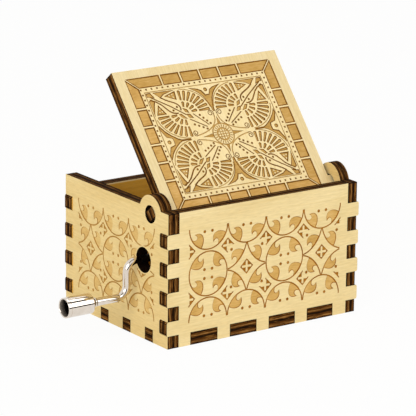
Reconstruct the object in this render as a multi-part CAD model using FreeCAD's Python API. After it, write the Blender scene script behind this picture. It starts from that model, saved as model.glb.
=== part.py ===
import FreeCAD, Part
import math
import os

# Hand cranked cylinder music box in a finger jointed plywood case with a pivoted lid.
# Millimetres. The origin is the middle of the case's footprint, on its underside.
# +X runs from the crank's side to the other side, +Y from the hinge side to the side
# where the lid shuts, and +Z is up. The lid stands part open.

# ---------------------------------------------------------------- driving dimensions
# Plywood case
case_length = 64.0            # outside, along X
case_depth = 51.0             # outside, along Y
wall_height = 37.65
ply = 3.6                     # thickness of every wooden piece
finger_count = 7              # equal fingers between the bottom finger and the top one
top_finger = 5.77             # height of the uppermost finger
finger_proud = 0.3            # end grain of the long walls stands past the side walls
long_tab_count = 4            # tabs of the bottom in the front and rear walls
long_tab_length = 9.0
long_tab_pitch = 13.13
side_tab_count = 4            # tabs of the bottom in the side walls
side_tab_length = 3.9
side_tab_pitch = 10.97

# Lid and its wooden pivots
hinge_setback = 8.65          # pivot line behind the front face
ear_radius = 5.3
pivot_width = 3.3             # of the rectangular tenon that turns in the round hole
pivot_clearance = 0.06        # radial, tenon corner to hole
pivot_inset = 0.2             # tenon end below the side wall's outer face
lid_side_gap = 1.0
lid_front_gap = 0.85
lid_rear_inset = 0.25         # free edge in front of the rear face
lid_seat_gap = 0.05
lid_open = 50.0               # degrees from shut

# Pinned cylinder
cylinder_inset = 18.0         # axis behind the crank side's outer face
barrel_radius = 6.5
barrel_wall = 0.8
barrel_margin = 0.5           # plain band past the first and last track
pin_radius = 0.22
pin_height = 0.6
pin_seat = 0.5                # depth of a pin in the barrel's wall
beat_count = 48               # pin rows round the barrel
cap_thickness = 1.2
arbor_radius = 1.1
arbor_overhang = 0.4          # past each cheek
end_play = 0.3                # hub to cheek

# Comb
tooth_count = 18
tooth_pitch = 1.0
tooth_slot = 0.22
tooth_thickness = 0.6
tooth_tip_width = 0.42
tooth_tip_length = 1.3
bass_tooth_length = 13.5
treble_tooth_length = 9.0
comb_thickness = 1.6
comb_land = 6.5               # clamped depth behind the longest tooth
tip_gap = 0.1                 # pin circle to tooth tips
weight_count = 8
weight_length = 2.0
weight_height = 1.8
damper_thickness = 0.12
damper_drop = 1.2
damper_run = 1.3

# Worm drive
module_axial = 0.65
wheel_teeth = 20
worm_pitch_radius = 2.5
worm_thread_length = 7.5
worm_steps_per_turn = 24
worm_sleeve_radius = 1.75
backlash = 0.07               # taken off each flank pair, on worm and wheel alike
pressure_angle = 20.0
root_factor = 1.25            # dedendum in modules
wheel_face = 3.6
hub_radius = 2.4
hub_length = 1.0              # wheel's face to the barrel's end

# Crank
wire_radius = 1.1
shaft_offset = -11.5          # crank shaft from the middle of the case, along Y
arm_standoff = 4.0            # middle of the arm to the side wall's outer face
crank_throw = 9.75
bend_radius = 3.1
knob_start = 14.8             # knob's inner end to the side wall's outer face
knob_length = 9.3
knob_radius = 2.8
knob_wall = 0.42
knob_web = 1.5
knob_round = 0.9
knob_lip = 0.18
collar_length = 0.9
collar_radius = 1.22
head_radius = 1.7
head_thickness = 0.6
crank_hole_radius = 3.6
crank_hole_dy = -2.2          # hole's middle from the shaft's line
crank_hole_dz = 0.4

# Cast bedplate
bed_thickness = 1.8
bed_corner = 3.0
bed_half_depth = 16.0
bed_clearance = 0.35          # under the wheel and the pins
bed_margin = 1.4              # past the comb's land
post_thickness = 2.2
post_half_width = 2.5
post_gap = 0.85               # wheel's rim to post
cheek_thickness = 2.0
cheek_half_width = 3.0
running_clearance = 0.05      # radial, in every metal bearing
thrust_play = 0.15
rest_overlap = 0.5            # comb rest past the comb's sides
rest_corner = 1.0
rib_width = 1.2
rib_height = 1.6

# Screws
comb_screw_radius = 1.0
comb_screw_depth = 4.0
comb_screw_spread = 11.0
comb_head_radius = 1.9
comb_head_height = 1.1
comb_head_taper = 0.35
frame_screw_radius = 1.1
frame_screw_inset = 3.0
frame_head_radius = 2.2
frame_head_height = 1.3
frame_head_recess = 0.1
boss_radius = 2.3
boss_height = 2.4
boss_roof = 0.6
slot_width = 0.5
slot_depth = 0.5
screw_clearance = 0.05

# ---------------------------------------------------------------- derived places
half_length = case_length / 2
half_depth = case_depth / 2
inner_x = half_length - ply
inner_y = half_depth - ply

hinge_y = -half_depth + hinge_setback
hinge_z = wall_height - ply / 2
pivot_hole_radius = math.hypot(ply / 2, pivot_width / 2) + pivot_clearance
lid_half_width = inner_x - lid_side_gap
lid_reach = case_depth - hinge_setback - lid_rear_inset
lid_heel = hinge_setback - ply - lid_front_gap

wheel_pitch_radius = module_axial * wheel_teeth / 2
wheel_tip_radius = wheel_pitch_radius + module_axial
pin_circle = barrel_radius + pin_height
lead = math.pi * module_axial

cylinder_x = -half_length + cylinder_inset
bed_top = ply + bed_thickness
cylinder_z = bed_top + bed_clearance + max(pin_circle, wheel_tip_radius)
shaft_y = shaft_offset
shaft_z = cylinder_z + wheel_pitch_radius + worm_pitch_radius

wheel_front = shaft_y - wheel_face / 2
wheel_rear = shaft_y + wheel_face / 2
barrel_front = wheel_rear + hub_length
barrel_length = tooth_count * tooth_pitch + 2 * barrel_margin
barrel_rear = barrel_front + barrel_length
barrel_middle = barrel_front + barrel_length / 2
front_cheek_y = wheel_front - end_play
rear_hub_y = barrel_rear + hub_length
rear_cheek_y = rear_hub_y + end_play

post_reach = wheel_tip_radius + post_gap
outer_post_x = cylinder_x - post_reach
inner_post_x = cylinder_x + post_reach

tip_x = cylinder_x + pin_circle + tip_gap
root_x = tip_x + bass_tooth_length
comb_rear_x = root_x + comb_land
comb_half_width = tooth_count * tooth_pitch / 2
comb_top = cylinder_z + tooth_thickness / 2
comb_seat = comb_top - comb_thickness

bed_x0 = outer_post_x - post_thickness
bed_x1 = comb_rear_x + bed_margin

arm_x = -half_length - arm_standoff
knob_z = shaft_z - crank_throw
knob_x = -half_length - knob_start
head_x = knob_x - knob_web - thrust_play


def point(x, y, z):
    return FreeCAD.Vector(x, y, z)


X_AXIS = point(1, 0, 0)
Y_AXIS = point(0, 1, 0)
Z_AXIS = point(0, 0, 1)


def block(x0, x1, y0, y1, z0, z1):
    """Box between two corners."""
    return Part.makeBox(x1 - x0, y1 - y0, z1 - z0, point(x0, y0, z0))


def rod_x(x0, x1, y, z, radius):
    return Part.makeCylinder(radius, x1 - x0, point(x0, y, z), X_AXIS)


def rod_y(x, y0, y1, z, radius):
    return Part.makeCylinder(radius, y1 - y0, point(x, y0, z), Y_AXIS)


def rod_z(x, y, z0, z1, radius):
    return Part.makeCylinder(radius, z1 - z0, point(x, y, z0), Z_AXIS)


def spread(count, pitch, middle=0.0):
    """Evenly pitched places about a middle."""
    return [middle + (i - (count - 1) / 2) * pitch for i in range(count)]


# ---------------------------------------------------------------- plywood case
def finger_levels():
    """Heights where the corner fingers change hands, from the floor to the rim."""
    step = (wall_height - ply - top_finger) / finger_count
    return [0.0] + [ply + step * i for i in range(finger_count + 1)] + [wall_height]


def finger_bands(first):
    """Every second band of the corner joint: 0 is the side walls', 1 the long walls'."""
    levels = finger_levels()
    return [(levels[i], levels[i + 1]) for i in range(first, len(levels) - 1, 2)]


def side_wall(side):
    """Crank side (-1) or far side (+1), with the ear that carries the lid's pivot."""
    x0, x1 = sorted((side * half_length, side * inner_x))
    wall = block(x0, x1, -half_depth, half_depth, 0, wall_height)
    ear = rod_x(x0, x1, hinge_y, hinge_z, ear_radius)
    cuts = [rod_x(x0, x1, hinge_y, hinge_z, pivot_hole_radius)]
    for z0, z1 in finger_bands(1):
        cuts.append(block(x0, x1, -half_depth, -inner_y, z0, z1))
        cuts.append(block(x0, x1, inner_y, half_depth, z0, z1))
    for y in spread(side_tab_count, side_tab_pitch):
        cuts.append(block(x0, x1, y - side_tab_length / 2, y + side_tab_length / 2, 0, ply))
    if side < 0:
        hole_y = shaft_y + crank_hole_dy
        hole_z = shaft_z + crank_hole_dz
        cuts.append(rod_x(x0, x1, hole_y, hole_z, crank_hole_radius))
    return wall.fuse(ear).cut(cuts).removeSplitter()


def long_wall(side, height):
    """Front (-1) or rear (+1) wall; its fingers run through the side walls."""
    y0, y1 = sorted((side * half_depth, side * inner_y))
    reach = half_length + finger_proud
    wall = block(-reach, reach, y0, y1, 0, height)
    cuts = []
    for z0, z1 in finger_bands(0):
        cuts.append(block(-reach, -inner_x, y0, y1, z0, z1))
        cuts.append(block(inner_x, reach, y0, y1, z0, z1))
    for x in spread(long_tab_count, long_tab_pitch):
        cuts.append(block(x - long_tab_length / 2, x + long_tab_length / 2, y0, y1, 0, ply))
    return wall.cut(cuts)


def frame_screw_places():
    """Two opposite corners of the bedplate, clear of the crank's posts."""
    left = bed_x0 + frame_screw_inset
    right = bed_x1 - frame_screw_inset
    back = bed_half_depth - frame_screw_inset
    return [(left, back), (right, -back)]


def bottom_board():
    board = block(-inner_x, inner_x, -inner_y, inner_y, 0, ply)
    tabs = []
    for x in spread(long_tab_count, long_tab_pitch):
        tabs.append(block(x - long_tab_length / 2, x + long_tab_length / 2,
                          -half_depth, half_depth, 0, ply))
    for y in spread(side_tab_count, side_tab_pitch):
        tabs.append(block(-half_length, half_length,
                          y - side_tab_length / 2, y + side_tab_length / 2, 0, ply))
    holes = []
    for x, y in frame_screw_places():
        holes.append(rod_z(x, y, 0, ply, frame_screw_radius + screw_clearance))
        holes.append(flat_head(x, y, 0))
    return board.fuse(tabs).removeSplitter().cut(holes)


def flat_head(x, y, recess):
    """Cone of a flat screw head or of its countersink, wide end down, cut off at a height."""
    slope = (frame_head_radius - frame_screw_radius) / frame_head_height
    wide = frame_head_radius - slope * recess
    return Part.makeCone(wide, frame_screw_radius, frame_head_height - recess,
                         point(x, y, recess), Z_AXIS)


def lid():
    """Board with a rectangular tenon on each side of its hinge end, swung open."""
    low = hinge_z - ply / 2
    high = hinge_z + ply / 2
    board = block(-lid_half_width, lid_half_width, hinge_y - lid_heel, hinge_y + lid_reach,
                  low, high)
    tenon_end = half_length - pivot_inset
    tenons = block(-tenon_end, tenon_end, hinge_y - pivot_width / 2,
                   hinge_y + pivot_width / 2, low, high)
    shut = board.fuse(tenons).removeSplitter()
    shut.rotate(point(0, hinge_y, hinge_z), X_AXIS, lid_open)
    return shut


# ---------------------------------------------------------------- cast bedplate
def post_profile(half_width, axis_height):
    """Upright with a round head, as a wire in its own XY plane, head at the origin."""
    foot = -axis_height
    shank = [
        Part.makeLine(point(-half_width, 0, 0), point(-half_width, foot, 0)),
        Part.makeLine(point(-half_width, foot, 0), point(half_width, foot, 0)),
        Part.makeLine(point(half_width, foot, 0), point(half_width, 0, 0)),
    ]
    head = Part.Arc(point(half_width, 0, 0), point(0, half_width, 0),
                    point(-half_width, 0, 0)).toShape()
    return Part.Face(Part.Wire(shank + [head]))


def crank_post(x0):
    """Bearing post for the crank shaft, its thickness along X."""
    face = post_profile(post_half_width, shaft_z - bed_top)
    face.rotate(point(0, 0, 0), X_AXIS, 90)
    face.rotate(point(0, 0, 0), Z_AXIS, 90)
    face.translate(point(x0, shaft_y, shaft_z))
    return face.extrude(point(post_thickness, 0, 0))


def arbor_cheek(y0):
    """Bearing cheek for the cylinder's arbor, its thickness along Y."""
    face = post_profile(cheek_half_width, cylinder_z - bed_top)
    face.rotate(point(0, 0, 0), X_AXIS, 90)
    face.translate(point(cylinder_x, y0, cylinder_z))
    return face.extrude(point(0, cheek_thickness, 0))


def upright_edges(solid):
    """Straight edges of a solid that run along Z."""
    return [edge for edge in solid.Edges
            if abs(edge.tangentAt(edge.FirstParameter).z) > 0.999
            and edge.Curve.TypeId == "Part::GeomLine"]


def comb_rest():
    """Raised land under the comb's clamped end."""
    rest = block(root_x + rest_overlap, comb_rear_x, barrel_middle - comb_half_width - rest_overlap,
                 barrel_middle + comb_half_width + rest_overlap, bed_top, comb_seat)
    return rest.makeFillet(rest_corner, upright_edges(rest))


def comb_screw_places():
    middle_x = root_x + rest_overlap + (comb_land - rest_overlap) / 2
    return [(middle_x, y) for y in spread(2, comb_screw_spread, barrel_middle)]


def movement_frame():
    plate = block(bed_x0, bed_x1, -bed_half_depth, bed_half_depth, ply, bed_top)
    plate = plate.makeFillet(bed_corner, upright_edges(plate))
    uprights = [
        crank_post(outer_post_x - post_thickness),
        crank_post(inner_post_x),
        arbor_cheek(front_cheek_y - cheek_thickness),
        arbor_cheek(rear_cheek_y),
        comb_rest(),
    ]
    # A stiffening rib joins the inner crank post to the comb rest.
    uprights.append(block(inner_post_x, root_x + 2 * rest_overlap, shaft_y - rib_width / 2,
                          shaft_y + rib_width / 2, bed_top, bed_top + rib_height))
    uprights.append(block(root_x + rest_overlap, root_x + rest_overlap + rib_width,
                          shaft_y - rib_width / 2, barrel_middle, bed_top, bed_top + rib_height))
    for x, y in frame_screw_places():
        uprights.append(rod_z(x, y, bed_top, bed_top + boss_height, boss_radius))
    bores = [
        rod_x(bed_x0, inner_post_x + post_thickness, shaft_y, shaft_z,
              wire_radius + running_clearance),
        rod_y(cylinder_x, front_cheek_y - cheek_thickness, rear_cheek_y + cheek_thickness,
              cylinder_z, arbor_radius + running_clearance),
    ]
    for x, y in frame_screw_places():
        bores.append(rod_z(x, y, ply, bed_top + boss_height - boss_roof,
                           frame_screw_radius + screw_clearance))
    for x, y in comb_screw_places():
        bores.append(rod_z(x, y, comb_seat - comb_screw_depth, comb_seat,
                           comb_screw_radius + screw_clearance))
    return plate.fuse(uprights).removeSplitter().cut(bores)


def frame_screws():
    """Countersunk screws through the bottom board into the bedplate's bosses."""
    screws = []
    tip = bed_top + boss_height - boss_roof - screw_clearance
    for x, y in frame_screw_places():
        shank = rod_z(x, y, frame_head_height, tip, frame_screw_radius)
        slot = block(x - frame_head_radius, x + frame_head_radius, y - slot_width / 2,
                     y + slot_width / 2, frame_head_recess, frame_head_recess + slot_depth)
        screws.append(flat_head(x, y, frame_head_recess).fuse(shank).cut(slot))
    return Part.Compound(screws)


# ---------------------------------------------------------------- comb
def tooth_length(index):
    """Free length, from the longest bass tooth at the rear to the shortest at the front."""
    share = index / (tooth_count - 1)
    return treble_tooth_length + (bass_tooth_length - treble_tooth_length) * share


def tooth_middle(index):
    return barrel_middle + (index - (tooth_count - 1) / 2) * tooth_pitch


def comb():
    """Steel comb: a thick land, and thin teeth that narrow to their tips."""
    low = comb_top - tooth_thickness
    side = comb_half_width
    front_root = tip_x + tooth_length(0)
    outline = [
        point(front_root, barrel_middle - side, 0),
        point(root_x, barrel_middle + side, 0),
        point(comb_rear_x, barrel_middle + side, 0),
        point(comb_rear_x, barrel_middle - side, 0),
    ]
    thin = Part.Face(Part.makePolygon(outline + [outline[0]]))
    thin.translate(point(0, 0, low))
    plate = thin.extrude(point(0, 0, tooth_thickness))
    land = block(root_x + rest_overlap, comb_rear_x, barrel_middle - side, barrel_middle + side,
                 comb_seat, low)
    teeth = []
    half = (tooth_pitch - tooth_slot) / 2
    for index in range(tooth_count):
        y = tooth_middle(index)
        end = tip_x + tooth_length(index) + tooth_pitch
        shape = [
            point(end, y - half, low),
            point(tip_x + tooth_tip_length, y - half, low),
            point(tip_x, y - tooth_tip_width / 2, low),
            point(tip_x, y + tooth_tip_width / 2, low),
            point(tip_x + tooth_tip_length, y + half, low),
            point(end, y + half, low),
        ]
        face = Part.Face(Part.makePolygon(shape + [shape[0]]))
        teeth.append(face.extrude(point(0, 0, tooth_thickness)))
    holes = [rod_z(x, y, comb_seat, comb_top, comb_screw_radius + screw_clearance)
             for x, y in comb_screw_places()]
    return plate.fuse(teeth + [land]).removeSplitter().cut(holes)


def comb_weights():
    """Lead tuning weights under the bass teeth, lighter towards the treble."""
    weights = []
    top = comb_top - tooth_thickness
    half = (tooth_pitch - 2 * tooth_slot) / 2
    for step in range(weight_count):
        y = tooth_middle(tooth_count - 1 - step)
        drop = weight_height * (1 - step / (weight_count + 1))
        x0 = tip_x + tooth_tip_length
        weights.append(block(x0, x0 + weight_length, y - half, y + half, top - drop, top))
    return Part.Compound(weights)


def comb_dampers():
    """Slanting slips of foil under the treble teeth, glued on behind the tip."""
    dampers = []
    top = comb_top - tooth_thickness
    for index in range(tooth_count - weight_count):
        y0 = tooth_middle(index) - tooth_tip_width / 2
        x0 = tip_x + tooth_tip_length / 2
        side = [
            point(x0, y0, top - damper_drop),
            point(x0 + damper_run, y0, top - damper_thickness),
            point(x0 + 2 * damper_run, y0, top - damper_thickness),
            point(x0 + 2 * damper_run, y0, top),
            point(x0 + damper_run, y0, top),
            point(x0, y0, top - damper_drop + damper_thickness),
        ]
        face = Part.Face(Part.makePolygon(side + [side[0]]))
        dampers.append(face.extrude(point(0, tooth_tip_width, 0)))
    return Part.Compound(dampers)


def comb_screws():
    screws = []
    tip = comb_seat - comb_screw_depth + screw_clearance
    for x, y in comb_screw_places():
        shank = rod_z(x, y, tip, comb_top, comb_screw_radius)
        head = Part.makeCone(comb_head_radius, comb_head_radius - comb_head_taper,
                             comb_head_height, point(x, y, comb_top), Z_AXIS)
        slot = block(x - slot_width / 2, x + slot_width / 2, y - comb_head_radius,
                     y + comb_head_radius, comb_top + comb_head_height - slot_depth,
                     comb_top + comb_head_height)
        screws.append(shank.fuse(head).cut(slot))
    return Part.Compound(screws)


# ---------------------------------------------------------------- pinned cylinder
def cylinder_barrel():
    outer = rod_y(cylinder_x, barrel_front, barrel_rear, cylinder_z, barrel_radius)
    return outer.cut(rod_y(cylinder_x, barrel_front, barrel_rear, cylinder_z,
                           barrel_radius - barrel_wall))


def melody(beat):
    """Comb teeth struck on one beat: a running figure over slower bass steps."""
    notes = {(beat * 5 + beat // 6) % tooth_count}
    if beat % 2 == 0:
        notes.add((beat * 7 // 2 + 3) % tooth_count)
    if beat % 4 == 0:
        notes.add(tooth_count - 1 - (beat // 4 * 2) % (tooth_count // 2))
    return sorted(notes)


def cylinder_pins():
    """Steel pins set in the barrel's wall, one for each note of the tune."""
    corners = [point(pin_radius * math.cos(math.radians(60 * i)),
                     pin_radius * math.sin(math.radians(60 * i)), barrel_radius - pin_seat)
               for i in range(6)]
    pin_section = Part.Face(Part.makePolygon(corners + [corners[0]]))
    pins = []
    for beat in range(beat_count):
        angle = 360 * (beat + 0.5) / beat_count
        for note in melody(beat):
            pin = pin_section.extrude(point(0, 0, pin_seat + pin_height))
            pin.rotate(point(0, 0, 0), Y_AXIS, angle)
            pin.translate(point(cylinder_x, tooth_middle(note), cylinder_z))
            pins.append(pin)
    return Part.Compound(pins)


def cylinder_caps():
    """Discs pressed into the barrel's ends; the rear one has a hub against the cheek."""
    inside = barrel_radius - barrel_wall
    bore = rod_y(cylinder_x, barrel_front, rear_hub_y, cylinder_z, arbor_radius)
    front = rod_y(cylinder_x, barrel_front, barrel_front + cap_thickness, cylinder_z, inside)
    rear = rod_y(cylinder_x, barrel_rear - cap_thickness, barrel_rear, cylinder_z, inside)
    rear = rear.fuse(rod_y(cylinder_x, barrel_rear, rear_hub_y, cylinder_z, hub_radius))
    return Part.Compound([front.cut(bore), rear.removeSplitter().cut(bore)])


def cylinder_arbor():
    return rod_y(cylinder_x, front_cheek_y - cheek_thickness - arbor_overhang,
                 rear_cheek_y + cheek_thickness + arbor_overhang, cylinder_z, arbor_radius)


def involute_half_angle(radius):
    """Half the angle that a wheel tooth fills at a radius, less its share of the play."""
    base = wheel_pitch_radius * math.cos(math.radians(pressure_angle))
    at_pitch = math.radians(pressure_angle)
    reach = math.acos(min(1.0, base / radius))
    swing = (math.tan(at_pitch) - at_pitch) - (math.tan(reach) - reach)
    return (lead / 4 - backlash / 2) / wheel_pitch_radius + swing


def wheel_outline(turn):
    """Closed outline of the toothed rim in the XZ plane, turned about Y by an angle."""
    root = wheel_pitch_radius - root_factor * module_axial
    steps = 3
    radii = [root + (wheel_tip_radius - root) * i / steps for i in range(steps + 1)]
    corners = []
    for tooth in range(wheel_teeth):
        middle = turn + 2 * math.pi * (tooth + 0.5) / wheel_teeth
        flank = [(radius, involute_half_angle(radius)) for radius in radii]
        sides = [(radius, middle - half) for radius, half in flank]
        sides += [(radius, middle + half) for radius, half in reversed(flank)]
        corners += [point(radius * math.sin(angle), 0, radius * math.cos(angle))
                    for radius, angle in sides]
    return Part.makePolygon(corners + [corners[0]])


def worm_wheel():
    """Wheel whose teeth lean by the worm's lead angle; a gap faces the worm."""
    lean = lead / (2 * math.pi * worm_pitch_radius) / wheel_pitch_radius
    sections = []
    for offset in (-wheel_face / 2, wheel_face / 2):
        section = wheel_outline(lean * offset)
        section.translate(point(cylinder_x, shaft_y + offset, cylinder_z))
        sections.append(section)
    rim = Part.makeLoft(sections, True, True)
    rear_hub = rod_y(cylinder_x, wheel_rear, barrel_front, cylinder_z, hub_radius)
    bore = rod_y(cylinder_x, wheel_front, barrel_front, cylinder_z, arbor_radius)
    return rim.fuse(rear_hub).removeSplitter().cut(bore)


# ---------------------------------------------------------------- crank
def worm():
    """Single start brass worm on a sleeve that fills the space between the posts.

    Thread and sleeve are many sided; at rest the middle crest faces down to the wheel.
    """
    slope = math.tan(math.radians(pressure_angle))
    inner = worm_sleeve_radius - 0.1 * module_axial
    outer = worm_pitch_radius + module_axial
    half_pitch = lead / 4 - backlash / 2
    half_inner = half_pitch + (worm_pitch_radius - inner) * slope
    half_outer = half_pitch - module_axial * slope
    trapezoid = [(-half_inner, inner), (-half_outer, outer),
                 (half_outer, outer), (half_inner, inner)]
    steps = round(worm_thread_length / lead * worm_steps_per_turn)
    rings = []
    for i in range(steps + 1):
        turns = (i - steps / 2) / worm_steps_per_turn
        swing = FreeCAD.Rotation(X_AXIS, 360 * turns)
        rings.append([swing.multVec(point(turns * lead + across, 0, -radius))
                      for across, radius in trapezoid])
    faces = [Part.Face(Part.makePolygon(ring + [ring[0]])) for ring in (rings[0], rings[-1])]
    for near, far in zip(rings, rings[1:]):
        for j in range(len(trapezoid)):
            for corners in ([near[j - 1], near[j], far[j]], [near[j - 1], far[j], far[j - 1]]):
                faces.append(Part.Face(Part.makePolygon(corners + [corners[0]])))
    thread = Part.Solid(Part.Shell(faces))
    half_sleeve = post_reach - thrust_play
    corners = []
    for i in range(worm_steps_per_turn):
        swing = FreeCAD.Rotation(X_AXIS, 360 * (i - steps / 2) / worm_steps_per_turn)
        corners.append(swing.multVec(point(-half_sleeve, 0, -worm_sleeve_radius)))
    sleeve = Part.Face(Part.makePolygon(corners + [corners[0]]))
    sleeve = sleeve.extrude(point(2 * half_sleeve, 0, 0))
    whole = sleeve.fuse(thread).cut(rod_x(-post_reach, post_reach, 0, 0, wire_radius))
    whole.translate(point(cylinder_x, shaft_y, shaft_z))
    return whole


def crank_handle():
    """One bent wire: shaft, arm hanging down, and the spindle that the knob turns on."""
    inner_end = inner_post_x + post_thickness + 2 * thrust_play + post_gap
    spindle_end = head_x - head_thickness
    bow = bend_radius * (1 - math.sqrt(0.5))
    upper = [
        point(arm_x + bend_radius, shaft_y, shaft_z),
        point(arm_x + bow, shaft_y, shaft_z - bow),
        point(arm_x, shaft_y, shaft_z - bend_radius),
    ]
    lower = [
        point(arm_x, shaft_y, knob_z + bend_radius),
        point(arm_x - bow, shaft_y, knob_z + bow),
        point(arm_x - bend_radius, shaft_y, knob_z),
    ]
    route = Part.Wire([
        Part.makeLine(point(inner_end, shaft_y, shaft_z), upper[0]),
        Part.Arc(*upper).toShape(),
        Part.makeLine(upper[2], lower[0]),
        Part.Arc(*lower).toShape(),
        Part.makeLine(lower[2], point(spindle_end, shaft_y, knob_z)),
    ])
    section = Part.Wire(Part.makeCircle(wire_radius, point(inner_end, shaft_y, shaft_z), X_AXIS))
    wire = route.makePipeShell([section], True, False)
    wire = Part.Solid(wire) if wire.ShapeType == "Shell" else wire
    collar_x = knob_x + thrust_play
    collar = rod_x(collar_x, collar_x + collar_length, shaft_y, knob_z, collar_radius)
    head = rod_x(spindle_end, head_x, shaft_y, knob_z, head_radius)
    return wire.fuse([collar, head])


def crank_knob():
    """Spun metal sleeve, open at its outer end, that turns on the wire's spindle.

    Its inner shoulder is turned in two bevels.
    """
    bore = wire_radius + running_clearance
    far = knob_x - knob_length
    web = knob_x - knob_web
    inside = knob_radius - knob_wall
    bow = knob_round * (1 - math.sqrt(0.5))
    outline = [
        point(web, bore, 0),
        point(knob_x, bore, 0),
        point(knob_x, knob_radius - knob_round, 0),
        point(knob_x - bow, knob_radius - bow, 0),
        point(knob_x - knob_round, knob_radius, 0),
        point(far + knob_lip, knob_radius, 0),
        point(far, knob_radius - knob_lip, 0),
        point(far, inside, 0),
        point(web, inside, 0),
    ]
    half_section = Part.Face(Part.makePolygon(outline + [outline[0]]))
    knob = half_section.revolve(point(0, 0, 0), X_AXIS, 360)
    knob.translate(point(0, shaft_y, knob_z))
    return knob


# ---------------------------------------------------------------- all the pieces
pieces = {
    "front_panel": long_wall(-1, wall_height),
    "rear_panel": long_wall(1, wall_height - ply - lid_seat_gap),
    "left_panel": side_wall(-1),
    "right_panel": side_wall(1),
    "bottom_panel": bottom_board(),
    "lid": lid(),
    "movement_frame": movement_frame(),
    "frame_screws": frame_screws(),
    "comb": comb(),
    "comb_weights": comb_weights(),
    "comb_dampers": comb_dampers(),
    "comb_screws": comb_screws(),
    "cylinder_barrel": cylinder_barrel(),
    "cylinder_pins": cylinder_pins(),
    "cylinder_caps": cylinder_caps(),
    "cylinder_arbor": cylinder_arbor(),
    "worm_wheel": worm_wheel(),
    "worm": worm(),
    "crank_handle": crank_handle(),
    "crank_knob": crank_knob(),
}

os.makedirs("parts", exist_ok=True)
for name, shape in pieces.items():
    shape.exportStep("parts/" + name + ".step")
    print(name, "solids", len(shape.Solids), "valid", shape.isValid(),
          "volume", round(shape.Volume, 3))
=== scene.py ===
from cmath import exp
from math import cos, pi, radians, sin

import bmesh
import bpy
from mathutils import Matrix, Vector
from mathutils.geometry import delaunay_2d_cdt, interpolate_bezier


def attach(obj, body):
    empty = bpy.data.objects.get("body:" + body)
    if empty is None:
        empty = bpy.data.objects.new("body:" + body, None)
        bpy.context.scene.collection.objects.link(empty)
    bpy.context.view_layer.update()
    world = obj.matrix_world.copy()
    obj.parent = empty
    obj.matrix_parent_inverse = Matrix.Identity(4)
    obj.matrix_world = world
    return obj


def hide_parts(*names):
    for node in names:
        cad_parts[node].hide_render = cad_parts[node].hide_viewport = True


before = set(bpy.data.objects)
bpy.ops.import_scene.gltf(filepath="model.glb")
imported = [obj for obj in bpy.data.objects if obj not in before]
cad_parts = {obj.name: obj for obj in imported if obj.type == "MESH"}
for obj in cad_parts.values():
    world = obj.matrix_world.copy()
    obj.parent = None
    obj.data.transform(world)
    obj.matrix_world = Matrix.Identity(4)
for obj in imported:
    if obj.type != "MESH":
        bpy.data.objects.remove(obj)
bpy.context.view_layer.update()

# ------------------------------------------------------------------ the front wall
# A board of 3.6 mm birch plywood, cut by laser with fingers at its ends and
# windows for the bottom's tabs, and glued in those joints.  The beam burns the
# cut edges brown, and a faster pass engraves the lattice of circles.
mm = 0.001                        # in Blender's metres; sizes are in mm
ply, half_length, half_depth = 3.6, 32.0, 25.5
engraving_depth, tip_round, soot_line = 0.12, 0.5, 0.22
facing, weld = 0.99, 0.001        # a normal's part along an axis; a distance that merges
# What a face of a board is, which is also its finish's slot.  A kept cell is one
# that the beam leaves bare inside a burnt shape.
bare, cut_edge, scorched, charred, inner, soot_and_shade, kept = range(7)


def hue(text):
    """A linear colour from its sRGB hex value."""
    parts = [int(text[i:i + 2], 16) / 255 for i in (1, 3, 5)]
    return [c / 12.92 if c <= 0.04045 else ((c + 0.055) / 1.055) ** 2.4 for c in parts] + [1.0]


def add(tree, kind, settings=None, links=None):
    """A node of a material, with its settings and with what feeds its sockets."""
    node = tree.nodes.new("ShaderNode" + kind)
    for name, value in (settings or {}).items():
        if name == "stops":
            ramp = node.color_ramp
            while len(ramp.elements) < len(value):
                ramp.elements.new(0.5)
            for element, (place, colour) in zip(ramp.elements, value):
                element.position = place
                element.color = hue(colour)
        elif isinstance(name, int) or name in node.inputs:
            node.inputs[name].default_value = value
        else:
            setattr(node, name, value)
    for name, source in (links or {}).items():
        tree.links.new(source, node.inputs[name])
    return node


def material(name):
    """An empty node material, and its tree."""
    made = bpy.data.materials.new(name)
    made.use_nodes = True
    made.node_tree.nodes.clear()
    return made, made.node_tree


def surfaced(tree, look, sources, strength, relief, height):
    """Ends a material in a shader with its look and sources, embossed by a height in mm."""
    bump = add(tree, "Bump", {"Strength": strength, "Distance": relief * mm},
               {"Height": height})
    shader = add(tree, "BsdfPrincipled", look, {**sources, "Normal": bump.outputs[0]})
    add(tree, "OutputMaterial", {}, {"Surface": shader.outputs[0]})


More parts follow.
